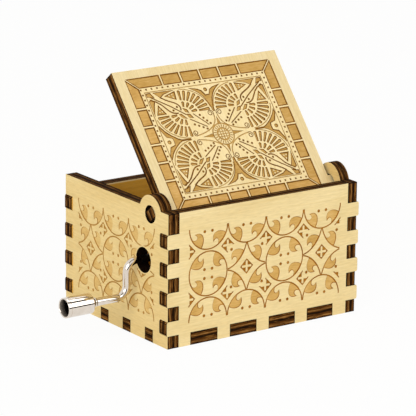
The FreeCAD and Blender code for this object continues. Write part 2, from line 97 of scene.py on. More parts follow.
# Rotary-cut birch veneer, sanded and left raw: cream, with faint darker
# fibres along the grain, short fine pores and a dull, slightly waxy surface.
def birch_veneer(name, grain_turn, fibres, bands, lit_above=None):
    """Veneer in four tones of fibre and three of growth band, with a paler strip above a height
    if asked, as painted light.
    """
    made, tree = material(name)
    place = add(tree, "Attribute", {"attribute_name": "board"}).outputs["Vector"]
    along = add(tree, "Mapping", {"Rotation": (0, 0, grain_turn)}, {"Vector": place}).outputs[0]
    # fibres 0.6 mm apart and about 15 mm long
    threads = add(tree, "Mapping", {"Scale": (0.07, 1.7, 1.7)}, {"Vector": along})
    fibre = add(tree, "TexNoise", {"Scale": 1.0, "Detail": 5.0, "Roughness": 0.62},
                {"Vector": threads.outputs[0]})
    # the growth figure, in bands of 6 to 10 mm
    growth = add(tree, "Mapping", {"Scale": (0.022, 0.14, 0.14)}, {"Vector": along})
    figure = add(tree, "TexNoise", {"Scale": 1.0, "Detail": 2.0, "Distortion": 0.8},
                 {"Vector": growth.outputs[0]})
    # pores, drawn twice as wide as the real 0.1 mm so that they show
    vessels = add(tree, "Mapping", {"Scale": (0.55, 4.5, 4.5)}, {"Vector": along})
    pores = add(tree, "TexNoise", {"Scale": 1.0, "Detail": 1.0}, {"Vector": vessels.outputs[0]})
    fibre_tone = add(tree, "ValToRGB", {"stops": list(zip((0.30, 0.46, 0.60, 0.76), fibres))},
                     {"Fac": fibre.outputs["Fac"]})
    figure_tone = add(tree, "ValToRGB", {"stops": list(zip((0.34, 0.50, 0.68), bands))},
                      {"Fac": figure.outputs["Fac"]})
    wood = add(tree, "Mix", {"data_type": "RGBA", 0: 0.5},
               {6: fibre_tone.outputs[0], 7: figure_tone.outputs[0]})
    # short flecks, 0.4 mm wide, three times the real ones so that they show
    spots = add(tree, "Mapping", {"Scale": (0.4, 2.4, 2.4)}, {"Vector": along})
    flecks = add(tree, "TexNoise", {"Scale": 1.0, "Detail": 2.0}, {"Vector": spots.outputs[0]})
    fleck_tone = add(tree, "MapRange", {"From Min": 0.3, "From Max": 0.7,
                                        "To Min": 0.94, "To Max": 1.05},
                     {"Value": flecks.outputs["Fac"]})
    wood = add(tree, "Mix", {"data_type": "RGBA", "blend_type": "MULTIPLY", 0: 1.0},
               {6: wood.outputs[2], 7: fleck_tone.outputs[0]})
    pore_mask = add(tree, "MapRange", {"From Min": 0.66, "From Max": 0.76, "To Max": 0.5},
                    {"Value": pores.outputs["Fac"]})
    wood = add(tree, "Mix", {"data_type": "RGBA", 7: hue("#CDAA6C")},
               {0: pore_mask.outputs[0], 6: wood.outputs[2]})
    if lit_above:
        # a paler strip above the given height, in mm up the board: painted light, the lit top of
        # a face that lies in shade below
        height = add(tree, "SeparateXYZ", {}, {"Vector": place}).outputs["Y"]
        rim = add(tree, "MapRange", {"From Min": lit_above, "From Max": lit_above + 0.15},
                  {"Value": height})
        wood = add(tree, "Mix", {"data_type": "RGBA", 7: hue("#EFD9A6")},
                   {0: rim.outputs[0], 6: wood.outputs[2]})
    relief = add(tree, "Math", {"operation": "SUBTRACT"},
                 {0: fibre.outputs["Fac"], 1: pore_mask.outputs[0]})
    surfaced(tree, {"Roughness": 0.58, "IOR": 1.46}, {"Base Color": wood.outputs[2]},
             0.35, 0.03, relief.outputs[0])
    return made


# The cut edge of the plywood: the beam has charred it, so the layers lie as
# brown and black bands, with fine streaks along the glue lines, and it is matt.
def burnt_edge():
    """Layers across the board's thickness, with streaks along them."""
    made, tree = material("burnt_plywood_edge")
    place = add(tree, "Attribute", {"attribute_name": "board"}).outputs["Vector"]
    depth = add(tree, "SeparateXYZ", {}, {"Vector": place}).outputs["Z"]
    # streaks 0.3 mm thick, twice the real ones so that they show, and some 4 mm long
    layered = add(tree, "Mapping", {"Scale": (0.24, 0.24, 3.2)}, {"Vector": place})
    streak = add(tree, "TexNoise", {"Scale": 1.0, "Detail": 4.0, "Roughness": 0.7},
                 {"Vector": layered.outputs[0]})
    waver = add(tree, "TexNoise", {"Scale": 0.35, "Detail": 2.0}, {"Vector": place})
    shift = add(tree, "MapRange", {"To Min": -0.02, "To Max": 0.02},
                {"Value": waver.outputs["Fac"]})
    layer = add(tree, "Math", {"operation": "MULTIPLY_ADD", 1: -1 / ply},
                {0: depth, 2: shift.outputs[0]})
    bands = add(tree, "ValToRGB", {"stops": [
        (0.00, "#5E3E1C"), (0.12, "#7A4E1F"), (0.20, "#B08148"), (0.28, "#74481A"),
        (0.40, "#563412"), (0.46, "#2C1A0A"), (0.54, "#2C1A0A"), (0.62, "#6A4216"),
        (0.70, "#B3854B"), (0.78, "#70461A"), (0.93, "#563513"), (1.00, "#45290F")]},
        {"Fac": layer.outputs[0]})
    streak_tone = add(tree, "ValToRGB", {"stops": [
        (0.36, "#2A2624"), (0.46, "#A69E96"), (0.54, "#D4CCC0"), (0.64, "#FFFFFF")]},
        {"Fac": streak.outputs["Fac"]})
    soot = add(tree, "Mix", {"data_type": "RGBA", "blend_type": "MULTIPLY", 0: 1.0},
               {6: bands.outputs[0], 7: streak_tone.outputs[0]})
    tan_mask = add(tree, "MapRange", {"From Min": 0.58, "From Max": 0.70, "To Max": 0.55},
                   {"Value": streak.outputs["Fac"]})
    soot = add(tree, "Mix", {"data_type": "RGBA", 7: hue("#AA7A3A")},
               {0: tan_mask.outputs[0], 6: soot.outputs[2]})
    # the cut faces that face upwards are darker, down to 0.68 of their tone
    upward = add(tree, "Attribute", {"attribute_name": "upward"})
    upward_darkening = add(tree, "MapRange", {"From Min": 0.2, "From Max": 0.9,
                                   "To Min": 1.0, "To Max": 0.68},
                {"Value": upward.outputs["Fac"]})
    soot = add(tree, "Mix", {"data_type": "RGBA", "blend_type": "MULTIPLY", 0: 1.0},
               {6: soot.outputs[2], 7: upward_darkening.outputs[0]})
    surfaced(tree, {"Roughness": 0.85, "IOR": 1.46, "Specular IOR Level": 0.04},
             {"Base Color": soot.outputs[2]}, 0.6, 0.06, streak.outputs["Fac"])
    return made


# Soot where the beam turned or went slowly, and painted shade in the holes' flanks: a black,
# dusty film with brown in it.
def black_soot_and_shade():
    """A film that is black where it lies thick and brown where it is thin."""
    made, tree = material("black_soot_and_shade")
    place = add(tree, "Attribute", {"attribute_name": "board"}).outputs["Vector"]
    dust = add(tree, "TexNoise", {"Scale": 2.2, "Detail": 3.0}, {"Vector": place})
    tone = add(tree, "ValToRGB",
               {"stops": [(0.35, "#0A0504"), (0.60, "#1B0F07"), (0.75, "#33200F")]},
               {"Fac": dust.outputs["Fac"]})
    surfaced(tree, {"Roughness": 0.9, "IOR": 1.46, "Specular IOR Level": 0.03},
             {"Base Color": tone.outputs[0]}, 0.4, 0.03, dust.outputs["Fac"])
    return made


# Engraved birch: the floor of a filled shape is toasted a light brown, with the
# laser's passes as faint lines; the outlines and flanks are burnt much darker.
def engraved_wood(name, dark, middle, light):
    """Burnt wood in three tones, streaky and in soft patches."""
    made, tree = material(name)
    place = add(tree, "Attribute", {"attribute_name": "board"}).outputs["Vector"]
    # passes drawn 0.4 mm apart, coarser than the real 0.1 mm, so that they show
    rows = add(tree, "Mapping", {"Scale": (0.5, 2.5, 2.5)}, {"Vector": place})
    passes = add(tree, "TexNoise", {"Scale": 1.0, "Detail": 2.0}, {"Vector": rows.outputs[0]})
    patches = add(tree, "TexNoise", {"Scale": 0.16, "Detail": 3.0}, {"Vector": place})
    burn = add(tree, "Mix", {"data_type": "FLOAT", 0: 0.55},
               {2: passes.outputs["Fac"], 3: patches.outputs["Fac"]})
    tone = add(tree, "ValToRGB", {"stops": [(0.34, dark), (0.50, middle), (0.66, light)]},
               {"Fac": burn.outputs[0]})
    surfaced(tree, {"Roughness": 0.85, "IOR": 1.46, "Specular IOR Level": 0.15},
             {"Base Color": tone.outputs[0]}, 0.4, 0.04, passes.outputs["Fac"])
    return made


cream = ("#D9BF81", "#E3CB92", "#E9D39C", "#EFDCAB"), ("#DDC488", "#E6D098", "#ECD8A4")
honey = ("#D9B973", "#E5C886", "#EACF90", "#EFD79C"), ("#DFC17D", "#E7CC8B", "#ECD497")
wall_finishes = [
    birch_veneer("cream_birch_veneer", 0.0, *cream), burnt_edge(),
    engraved_wood("scorched_birch", "#BD944D", "#CDA45D", "#D8B26F"),
    engraved_wood("charred_birch", "#855210", "#A0681F", "#B48032"),
    birch_veneer("honey_birch_veneer", 0.0, *honey), black_soot_and_shade()]


def arc(centre, radius, start, stop, steps):
    """Points of an arc, in the engraver's plane, where x + 1j * y is a place in mm."""
    return [centre + radius * exp(1j * radians(start + (stop - start) * i / steps))
            for i in range(steps + 1)]


def bow(a, b, c, d, steps=10):
    """Points of a Bezier curve between a and d."""
    corners = [Vector((p.real, p.imag)) for p in (a, b, c, d)]
    return [complex(*p) for p in interpolate_bezier(*corners, steps + 1)]


def line(art, points, width, closed=False, kind=charred):
    """A burnt line of even width along some points, mitred at its bends."""
    joints = []
    for i, here in enumerate(points):
        ways = []
        if closed or i > 0:
            ways.append(here - points[i - 1])
        if closed or i < len(points) - 1:
            ways.append(points[(i + 1) % len(points)] - here)
        ways = [w / abs(w) for w in ways]
        along = sum(ways) / abs(sum(ways))
        lean = max((along * ways[0].conjugate()).real, 0.5)
        side = 1j * along * width / 2 / lean
        joints.append([art.verts.new((p.real, p.imag, 0)) for p in (here - side, here + side)])
    for (a, b), (c, d) in zip(joints, joints[1:] + (joints[:1] if closed else [])):
        art.faces.new((a, c, d, b)).material_index = kind


def patch(art, outline, rim=0.2, kind=scorched):
    """A shape burnt light brown, with the darker line that the beam leaves round it."""
    art.faces.new([art.verts.new((p.real, p.imag, 0)) for p in outline]).material_index = kind
    if rim:
        line(art, outline, rim, closed=True)


def dot(art, centre, radius, kind=charred):
    """A small burnt dot."""
    made = bmesh.ops.create_circle(art, cap_ends=True, segments=10, radius=radius,
                                   matrix=Matrix.Translation((centre.real, centre.imag, 0)))
    made["verts"][0].link_faces[0].material_index = kind


leaf_circle = 6.2


def leaf(art, centre, turn, radius=leaf_circle, size=0.89):
    """A notched leaf that grows from the inside of a circle, clockwise by quarter turns."""
    tail = arc(0, leaf_circle, 160, 118, 8)
    notch = bow(-1.3 + 4.4j, -2.2 + 2.6j, -3.9 + 3.9j, -2.9 + 5.47j)
    belly = bow(-5.83 + 2.12j, -3.6 + 0.6j, -0.4 + 1.2j, -1.3 + 4.4j)
    outline = tail[:-1] + notch[:0:-1] + belly[:0:-1]
    outward = (radius - leaf_circle * size) * exp(1j * radians(139))
    patch(art, [centre + (size * p + outward) * (-1j) ** turn for p in outline], 0.16)


def star_corner(art, centre, right, up):
    """One quarter of a small square on its point, left bare along a cross."""
    quarter = [2.2j, 2.2, 1.6, 1.5 + 0.32j, 0.32 + 0.32j, 0.32 + 1.5j, 1.6j]
    patch(art, [centre + complex(right * p.real, up * p.imag) for p in quarter], 0, charred)


def circle_lattice(columns, pitch, first, shift=0j):
    """The walls' ornament: circles and hollow diamonds by turns, between two half rows.

    first is the column of the first whole circle, and shift moves the whole drawing.
    """
    art = bmesh.new()
    ring, stroke, pip, beside = 6.25, 0.38, 0.45, 1.25
    low, middle, high = 6.2 + shift.imag, 19.2 + shift.imag, 32.3 + shift.imag
    across = [(i - (columns - 1) / 2) * pitch + shift.real for i in range(columns)]
    for i, u in enumerate(across):
        for row, half in ((high, 180), (low, 0)):
            centre = complex(u, row)
            line(art, arc(centre, ring, half, half + 180, 28), stroke)
            for turn in (2, 3) if half else (0, 1):
                leaf(art, centre, turn)
            for side in (-beside, beside):
                dot(art, centre + side + (-1.2j if half else 1.2j), pip)
        centre = complex(u, middle)
        if (i + first) % 2 == 0:
            line(art, arc(centre, ring, 0, 360, 56)[:-1], stroke, closed=True)
            for turn in range(4):
                leaf(art, centre, turn)
                dot(art, centre + beside * (1 + 1j) * 1j ** turn, pip)
        else:
            for right, up, turn in ((-1, 1, 2), (1, 1, 3), (1, -1, 0), (-1, -1, 1)):
                side = bow(0.15 + 6.7j, 0.9 + 3.6j, 3.1 + 0.9j, 6.3 + 0.15j, 14)
                line(art, [centre + complex(right * p.real, up * p.imag) for p in side], stroke)
                leaf(art, centre + complex(right * pitch / 2, up * 6.75), turn, 5.9)
                star_corner(art, centre, right, up)
    # the small squares between the columns, cut off at the drawing's two ends
    for i in range(columns + 1):
        for right, column in ((-1, i - 1), (1, i)):
            if not 0 <= column < columns:
                continue
            for row, outward in (((high + middle) / 2 + 0.4, 1), ((low + middle) / 2, -1)):
                cross = complex((i - columns / 2) * pitch + shift.real, row)
                star_corner(art, cross, right, outward)
                if (column + first) % 2 == 0:
                    star_corner(art, cross, right, -outward)
                else:
                    dot(art, cross + complex(right * beside, -outward * 1.4), pip)
    return art


def shape_of(node):
    """A bmesh of a CAD node's shape, with its loose triangles welded."""
    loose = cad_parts[node].data.copy()
    if "custom_normal" in loose.attributes:
        loose.attributes.remove(loose.attributes["custom_normal"])
    bm = bmesh.new()
    bm.from_mesh(loose)
    bpy.data.meshes.remove(loose)
    bmesh.ops.remove_doubles(bm, verts=bm.verts, dist=weld * mm)
    return bm


def placed(name, data):
    """An object in the scene, at its origin."""
    made = bpy.data.objects.new(name, data)
    bpy.context.scene.collection.objects.link(made)
    return made


def engrave(bm, art, holes):
    """Lays a drawing on a board's outer skin and sinks what it burns.

    Where shapes overlap the deeper burn wins, and the drawing stops at the rim of a hole.
    """
    for centre, _, rim in holes:
        centre = Vector(centre)
        hidden = {v for v in art.verts if (v.co.xy - centre).length < rim}
        bmesh.ops.delete(art, geom=[f for f in art.faces if hidden.issuperset(f.verts)],
                         context="FACES")
        for v in hidden:
            if v.is_valid:
                v.co.xy = centre + (v.co.xy - centre).normalized() * rim
    art.normal_update()
    bmesh.ops.reverse_faces(art, faces=[f for f in art.faces if f.normal.z < 0])

    skin = [f for f in bm.faces if f.normal.z > facing and abs(f.calc_center_median().z) < 0.01]
    places, shapes, kinds = [], [], []
    for face in skin + list(art.faces):
        shapes.append(list(range(len(places), len(places) + len(face.verts))))
        places += [v.co.xy for v in face.verts]
        kinds.append(face.material_index)
    art.free()
    points, _, cells, _, _, sources = delaunay_2d_cdt(places, [], shapes, 0, 1e-5, True)
    bmesh.ops.delete(bm, geom=skin, context="FACES_ONLY")
    corners = [bm.verts.new((p.x, p.y, 0)) for p in points]
    for cell, source in zip(cells, sources):
        if min(source, default=len(skin)) >= len(skin):
            continue
        burn = max((kinds[i] for i in source if i >= len(skin)), default=bare)
        made = bm.faces.new([corners[i] for i in cell])
        made.material_index = bare if burn == kept else burn
    bmesh.ops.delete(bm, geom=[v for v in bm.verts if not v.link_faces], context="VERTS")
    bmesh.ops.remove_doubles(bm, verts=bm.verts, dist=0.0005)

    burnt = [f for f in bm.faces if f.material_index in (scorched, charred)]
    rest = {f for f in bm.faces if f.material_index not in (scorched, charred)}
    sunk = bmesh.ops.extrude_face_region(bm, geom=burnt)["geom"]
    bmesh.ops.translate(bm, vec=(0, 0, -engraving_depth),
                        verts=[g for g in sunk if isinstance(g, bmesh.types.BMVert)])
    rest |= {g for g in sunk if isinstance(g, bmesh.types.BMFace)}
    bmesh.ops.delete(bm, geom=[f for f in burnt if f.is_valid], context="FACES")
    for face in bm.faces:
        if face not in rest:
            face.material_index = charred


def board(name, node, body, origin, across, up, finishes, art=None, holes=(), round_at=0,
          trim=None):
    """A plywood board from its CAD node, with an ornament engraved in its outer face.

    In mm, x and y lie in its outer face and z points out of it.  A hole is its middle, its
    radius and that of the bare rim round it.  Finger tips past round_at are rounded, and
    trim gives how far the cut board is off its drawing at a point.
    """
    across, up = Vector(across), Vector(up)
    turn = Matrix((across, up, across.cross(up))).to_4x4()
    flat = Matrix.Scale(1 / mm, 4) @ turn @ Matrix.Translation(-mm * Vector(origin))
    bm = shape_of(node)
    bm.transform(flat)
    bm.normal_update()
    # the joints between the triangles of a flat cut face are dissolved
    bmesh.ops.dissolve_edges(bm, edges=[
        e for e in bm.edges if len(e.link_faces) == 2 and e.calc_face_angle() < 0.01
        and abs(e.link_faces[0].normal.z) < 0.5])
    if round_at:
        tips = [e for e in bm.edges if all(abs(v.co.x) > round_at for v in e.verts)
                and abs(e.verts[0].co.z - e.verts[1].co.z) > 1]
        bmesh.ops.bevel(bm, geom=tips, offset=tip_round, affect="EDGES", segments=3,
                        profile=0.5, material=-1)
    for face in bm.faces:
        out, middle = face.normal.z, face.calc_center_median().xy
        face.material_index = bare if out > facing else inner if out < -facing else cut_edge
        # the flanks of the holes take the black soot finish: painted shade for the dark inside
        # of each hole
        if face.material_index == cut_edge and any(
                (middle - Vector(centre)).length < radius + 0.1 for centre, radius, _ in holes):
            face.material_index = soot_and_shade
    # a cut face wider than 1.5 mm has a sooty line along its rim
    wide = [f for f in bm.faces if f.material_index == cut_edge and len(f.verts) >= 4
            and min(e.calc_length() for e in f.edges) > 1.5]
    for face in bmesh.ops.inset_individual(bm, faces=wide, thickness=soot_line,
                                           use_even_offset=True)["faces"]:
        face.material_index = soot_and_shade
    if art:
        engrave(bm, art, holes)
    bmesh.ops.delete(bm, geom=[e for e in bm.edges if not e.link_faces], context="EDGES")
    if trim:
        for v in bm.verts:
            v.co += Vector(trim(*v.co))
    place = [c for v in bm.verts for c in v.co]
    bm.transform(flat.inverted())
    mesh = bpy.data.meshes.new(name)
    bm.to_mesh(mesh)
    bm.free()
    mesh.attributes.new("board", "FLOAT_VECTOR", "POINT").data.foreach_set("vector", place)
    mesh.attributes.new("upward", "FLOAT", "FACE").data.foreach_set(
        "value", [max(face.normal.z, 0) for face in mesh.polygons])
    for finish in finishes:
        mesh.materials.append(finish)
    for face in mesh.polygons:
        face.use_smooth = face.material_index in (cut_edge, soot_and_shade)
    mesh.set_sharp_from_angle(angle=radians(30))
    made = placed(name, mesh)
    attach(made, body)
    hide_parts(node)
    return made


# The bottom's front tabs and their windows lie a little to the left of the middle.
long_pitch, finger_tips = 12.8, half_length + 0.2
tab_reach, tab_shift = 25.0, -0.35
board("front_wall", "front_panel", "case", (0, -half_depth, 0), (1, 0, 0), (0, 0, 1),
      wall_finishes, circle_lattice(4, long_pitch, 0, 0.33 + 0.12j), round_at=finger_tips,
      trim=lambda u, v, w: (tab_shift if v < ply + 0.1 and abs(u) < tab_reach else 0, 0, 0))

# ------------------------------------------------------------- the other boards
# The rear and side walls carry the same lattice, three circles wide on the
# sides, where it is burnt more faintly in a yellower veneer, and a bare rim is
# left round the crank's hole.  The bottom is plain.
side_finishes = [
    wall_finishes[inner], wall_finishes[cut_edge],
    engraved_wood("faintly_scorched_birch", "#D0A963", "#DBB671", "#E4C47F"),
    engraved_wood("faintly_charred_birch", "#A27432", "#B88A42", "#C49853"),
    wall_finishes[inner], wall_finishes[soot_and_shade]]
# The rear wall's inner face is painted amber: painted shade, for the shadowed inside of the box
# and its warm bounce light, and a paler strip above 33.55 mm is painted light along its lit top.
shade_amber = ("#CC9630", "#D6A23A", "#DCAB44", "#E2B654"), ("#CE9932", "#D8A53E", "#DEB04A")
rear_finishes = list(wall_finishes)
rear_finishes[inner] = birch_veneer("shaded_amber_birch_veneer", 0.0, *shade_amber, lit_above=33.55)
board("rear_wall", "rear_panel", "case", (0, half_depth, 0), (-1, 0, 0), (0, 0, 1),
      rear_finishes, circle_lattice(4, long_pitch, 0), round_at=finger_tips)

short_pitch, rim_height = 12.6, 37.65
crank_hole = (13.7, 22.3), 3.6, 4.0
hinge_y, hinge_z, tenon_hole = -16.85, 35.85, 2.5
board("left_wall", "left_panel", "case", (-half_length, 0, 0), (0, -1, 0), (0, 0, 1),
      side_finishes, circle_lattice(3, short_pitch, 1),
      holes=[crank_hole, ((-hinge_y, hinge_z), tenon_hole, tenon_hole)])
# The right one is 0.5 mm thinner than the others, and its ear stands up to 0.55 mm higher.
thinner, ear_stretch = 0.5, 0.157
board("right_wall", "right_panel", "case", (half_length, 0, 0), (0, 1, 0), (0, 0, 1),
      side_finishes, circle_lattice(3, short_pitch, 1),
      holes=[((hinge_y, hinge_z), tenon_hole, tenon_hole)],
      trim=lambda u, v, w: (0, ear_stretch * max(v - rim_height, 0),
                            -thinner if w > -1 else 0))

tab_line = half_depth - ply - 0.1
board("bottom_board", "bottom_panel", "case", (0, 0, 0), (1, 0, 0), (0, -1, 0), wall_finishes,
      trim=lambda u, v, w: (tab_shift if v > tab_line and abs(u) < tab_reach else 0, 0, 0))


# ------------------------------------------------------ the movement's frame
# One die casting of zinc alloy: a bed with two posts for the crank's shaft,
# two cheeks for the cylinder and a rest for the comb, screwed to the bottom.
def metal(name, colour, roughness, grain, relief, stretch=(1, 1, 1)):
    """A metal whose surface varies in tone and gloss at the size of its grain, in mm."""
    made, tree = material(name)
    place = add(tree, "TexCoord").outputs["Object"]
    scaled = add(tree, "Mapping", {"Scale": [s / mm / grain for s in stretch]},
                 {"Vector": place})
    fine = add(tree, "TexNoise", {"Scale": 1.0, "Detail": 3.0, "Roughness": 0.6},
               {"Vector": scaled.outputs[0]})
    # handling has toned it by an eighth, in patches of some 7 mm
    broad = add(tree, "TexNoise", {"Scale": 0.15 / mm, "Detail": 2.0}, {"Vector": place})
    shade = add(tree, "MapRange", {"To Min": 0.88, "To Max": 1.12},
                {"Value": broad.outputs["Fac"]})
    tone = add(tree, "Mix", {"data_type": "RGBA", "blend_type": "MULTIPLY", 0: 1.0,
                             6: hue(colour)}, {7: shade.outputs[0]})
    gloss = add(tree, "MapRange", {"From Min": 0.3, "From Max": 0.7, "To Min": roughness * 0.8,
                                   "To Max": roughness * 1.25}, {"Value": fine.outputs["Fac"]})
    surfaced(tree, {"Metallic": 1.0},
             {"Base Color": tone.outputs[2], "Roughness": gloss.outputs[0]},
             0.5, relief, fine.outputs["Fac"])
    return made


def finished(bm, name, body, node, finishes, sharp=30, bevel=0.0):
    """The object of a bmesh, smooth up to an angle, in its finishes and on its body."""
    mesh = bpy.data.meshes.new(name)
    bm.to_mesh(mesh)
    bm.free()
    for finish in finishes:
        mesh.materials.append(finish)
    mesh.shade_smooth()
    mesh.set_sharp_from_angle(angle=radians(sharp))
    made = placed(name, mesh)
    if bevel:
        rounding = made.modifiers.new("broken_edges", "BEVEL")
        rounding.width = bevel * mm
        rounding.segments = 2
        rounding.limit_method = "ANGLE"
        rounding.angle_limit = radians(40)
        rounding.harden_normals = True
    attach(made, body)
    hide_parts(node)
    return made


def fitted(name, node, body, finish, sharp=30, bevel=0.0):
    """A piece with its CAD node's shape, welded and smoothed, with its edges broken."""
    bm = shape_of(node)
    bmesh.ops.dissolve_limit(bm, angle_limit=radians(1), verts=bm.verts, edges=bm.edges)
    return finished(bm, name, body, node, [finish], sharp, bevel)


# Die-cast zinc alloy, tumbled: mid grey, matt, with a fine sandy skin.
cast_zinc = metal("tumbled_cast_zinc", "#A3A4A6", 0.42, 0.5, 0.03)
fitted("movement_casting", "movement_frame", "case", cast_zinc, bevel=0.15)

# Zinc-plated steel screws: bright, slightly bluish, with a soft gloss.
zinc_plate = metal("zinc_plated_steel", "#C4C8CC", 0.24, 0.6, 0.01)
fitted("casting_screws", "frame_screws", "case", zinc_plate, bevel=0.08)

# ---------------------------------------------------------------- the comb
# Eighteen teeth sawn in a plate of hardened spring steel, longest in the bass,
# with tuning weights and film dampers glued below, held by two screws.

# Ground spring steel: grey, with fine scratches along the teeth.
spring_steel = metal("ground_spring_steel", "#A9ACB1", 0.27, 0.35, 0.01, stretch=(0.06, 1, 1))
fitted("comb_plate", "comb", "case", spring_steel, bevel=0.05)

# Cast lead, gone dull: dark bluish grey.
dull_lead = metal("dull_lead", "#777C84", 0.55, 0.7, 0.03)
fitted("tuning_weights", "comb_weights", "case", dull_lead)
fitted("comb_plate_screws", "comb_screws", "case", zinc_plate, bevel=0.06)


# Thin polyester film, cut in strips: pale, milky, slightly yellow and glossy.
def damper_film():
    """Film with faint clouds in it."""
    made, tree = material("milky_damper_film")
    place = add(tree, "TexCoord").outputs["Object"]
    cloud = add(tree, "TexNoise", {"Scale": 0.8 / mm, "Detail": 2.0}, {"Vector": place})
    tone = add(tree, "ValToRGB", {"stops": [(0.35, "#D8D2BC"), (0.65, "#EDE8D6")]},
               {"Fac": cloud.outputs["Fac"]})
    surfaced(tree, {"Roughness": 0.3, "IOR": 1.57}, {"Base Color": tone.outputs[0]},
             0.3, 0.01, cloud.outputs["Fac"])
    return made


fitted("comb_damper_films", "comb_dampers", "case", damper_film())

# ------------------------------------------------------------ the cylinder
# A drawn brass barrel set with fine steel pins, closed by two turned caps on a
# steel arbor, and driven by a brass wheel of twenty teeth.

# Turned brass: warm yellow, with fine rings round its axis.
turned_brass = metal("turned_brass", "#C9A355", 0.22, 0.3, 0.01, stretch=(0.15, 1, 0.15))
fitted("barrel", "cylinder_barrel", "cylinder", turned_brass, bevel=0.1)
fitted("barrel_caps", "cylinder_caps", "cylinder", turned_brass, bevel=0.08)
fitted("drive_wheel", "worm_wheel", "cylinder", turned_brass, bevel=0.04)

# Drawn steel wire, bright and smooth.
bright_steel = metal("bright_drawn_steel", "#BEC2C6", 0.2, 0.4, 0.005)
fitted("barrel_pins", "cylinder_pins", "cylinder", bright_steel)
fitted("barrel_arbor", "cylinder_arbor", "cylinder", bright_steel, bevel=0.08)

# --------------------------------------------------------------- the crank
# One steel wire of 2.2 mm, bent twice and nickel plated.  Its shaft turns in
# the casting's posts and carries the worm; a swaged collar stops the knob.
fitted("brass_worm", "worm", "crank", turned_brass, sharp=20)

wire, bend = 1.1, 3.1
shaft_y, shaft_z, spindle_z = -11.5, 21.9, 12.15
shaft_start, dark_from, arm_x, spindle_end = -2.9, -31.9, -36.0, -49.05


# Bright nickel plate on polished steel: a near-perfect mirror, faintly yellow.
def nickel_plate():
    """Plate with a shallow ripple."""
    made, tree = material("bright_nickel_plate")
    place = add(tree, "TexCoord").outputs["Object"]
    ripple = add(tree, "TexNoise", {"Scale": 0.5 / mm, "Detail": 2.0}, {"Vector": place})
    tone = add(tree, "ValToRGB", {"stops": [(0.3, "#D8CDC0"), (0.7, "#E2D8CC")]},
               {"Fac": ripple.outputs["Fac"]})
    gloss = add(tree, "MapRange", {"To Min": 0.03, "To Max": 0.07},
                {"Value": ripple.outputs["Fac"]})
    surfaced(tree, {"Metallic": 1.0},
             {"Base Color": tone.outputs[0], "Roughness": gloss.outputs[0]},
             0.15, 0.01, ripple.outputs["Fac"])
    return made


nickel = nickel_plate()
# Blackened steel: blue-black, with a dull gloss.  The shaft inside the case is painted in it
# as painted shade, for the dark case round it; the collar's band beside the knob is of it too.
black_steel = metal("blackened_steel", "#241F1B", 0.45, 0.4, 0.01)


def edges_of(geometry):
    """The edges in what an operator gives back."""
    return [g for g in geometry if isinstance(g, bmesh.types.BMEdge)]


def drawn_out(bm, ring, way):
    """Extrudes a ring of edges by a step in mm, and gives the new ring."""
    old = {v for e in ring for v in e.verts}
    made = bmesh.ops.extrude_edge_only(bm, edges=ring)["geom"]
    bmesh.ops.translate(bm, vec=Vector(way) * mm,
                        verts=[g for g in made if isinstance(g, bmesh.types.BMVert)])
    return [e for e in edges_of(made) if not old.intersection(e.verts)]


def bent(bm, ring, centre, axis):
    """Turns a ring of edges a quarter round about a place in mm, and gives the new ring."""
    made = bmesh.ops.spin(bm, geom=ring + list({v for e in ring for v in e.verts}),
                          cent=Vector(centre) * mm, axis=axis, angle=pi / 2, steps=14)
    return edges_of(made["geom_last"])


def turned(bm, profile, steps=48):
    """Spins a closed profile, of places along X and radii, about the spindle's axis."""
    axis = Vector((0, shaft_y, spindle_z)) * mm
    points = [bm.verts.new(axis + Vector((p.real, 0, p.imag)) * mm) for p in profile]
    loop = [bm.edges.new((a, b)) for a, b in zip(points, points[1:] + points[:1])]
    bmesh.ops.spin(bm, geom=points + loop, cent=axis, axis=(1, 0, 0), angle=2 * pi,
                   steps=steps, use_merge=True)


def about_spindle(face):
    """How far along X a face's middle lies, and how far from the spindle's axis, in mm."""
    middle = face.calc_center_median() / mm
    return middle.x, Vector((middle.y - shaft_y, middle.z - spindle_z)).length


crank = bmesh.new()
start = bmesh.ops.create_circle(
    crank, segments=32, radius=wire * mm,
    matrix=Matrix.Translation(Vector((shaft_start, shaft_y, shaft_z)) * mm)
    @ Matrix.Rotation(pi / 2, 4, "Y"))["verts"]
ring = drawn_out(crank, crank.edges[:], (dark_from - shaft_start, 0, 0))
ring = drawn_out(crank, ring, (arm_x + bend - dark_from, 0, 0))
ring = bent(crank, ring, (arm_x + bend, shaft_y, shaft_z - bend), (0, -1, 0))
ring = drawn_out(crank, ring, (0, 0, spindle_z - shaft_z + 2 * bend))
ring = bent(crank, ring, (arm_x - bend, shaft_y, spindle_z + bend), (0, 1, 0))
ring = drawn_out(crank, ring, (spindle_end - arm_x + bend, 0, 0))
crank.faces.new(start)
bmesh.ops.contextual_create(crank, geom=ring)

# The collar is a dark band beside the knob, under two narrow rolled rings.
band_near, band_far, band_radius, core = -45.95, -47.65, 1.12, 0.6
turned(crank, [complex(x, r) for x, r in (
    (band_near, core), (band_near, band_radius), (band_far, band_radius), (band_far, core))])
roll_half, roll_foot = 0.25, 0.8
for middle in (-46.4, -47.08):
    roll = [complex(p.real, 0.7 * p.imag + 1.13) for p in arc(middle, roll_half, 0, 180, 8)]
    turned(crank, [complex(middle + roll_half, roll_foot)] + roll
           + [complex(middle - roll_half, roll_foot)])
# The wire's end is swaged to a head inside the knob.
turned(crank, [complex(spindle_end + x, r) for x, r in (
    (0.6, core), (0.6, 1.6), (0.5, 1.7), (0.1, 1.7), (0.0, 1.6), (0.0, core))])
bmesh.ops.recalc_face_normals(crank, faces=crank.faces)
# the shaft inside the case is painted blackened steel as painted shade; the collar's band is
# blackened steel too
for face in crank.faces:
    x, reach = about_spindle(face)
    in_band = band_far - 0.05 < x < band_near + 0.05 and abs(reach - band_radius) < 0.01
    face.material_index = int(x > dark_from or in_band)
finished(crank, "crank_wire", "crank", "crank_handle", [nickel, black_steel])

